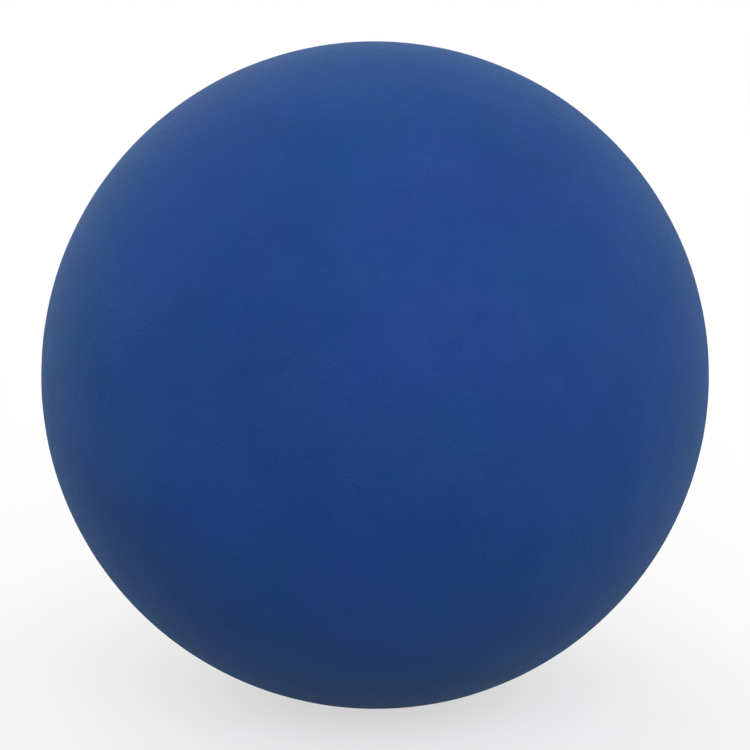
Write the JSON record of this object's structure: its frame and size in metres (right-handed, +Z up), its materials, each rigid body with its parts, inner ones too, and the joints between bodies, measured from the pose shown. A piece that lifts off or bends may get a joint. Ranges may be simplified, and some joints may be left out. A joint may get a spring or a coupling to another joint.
{
  "type": "frontenis ball",
  "caption": "Hollow, pressurised rubber ball with a plain matt blue surface, cemented together from moulded halves, for racket play against a wall.",
  "frame": {"origin": "centre of the ball", "axes": "+Y along the moulding axis, from the front half's pole to the rear half's; the seam lies in the XZ plane; +Z up"},
  "size_m": [0.05, 0.05, 0.05],
  "materials": {
    "blue_rubber": "matte",
    "rubber_cement": "satin"
  },
  "bodies": {
    "root": {"front_half_shell": "blue_rubber", "rear_half_shell": "blue_rubber", "seam_cement": "rubber_cement"}
  },
  "joints": []
}
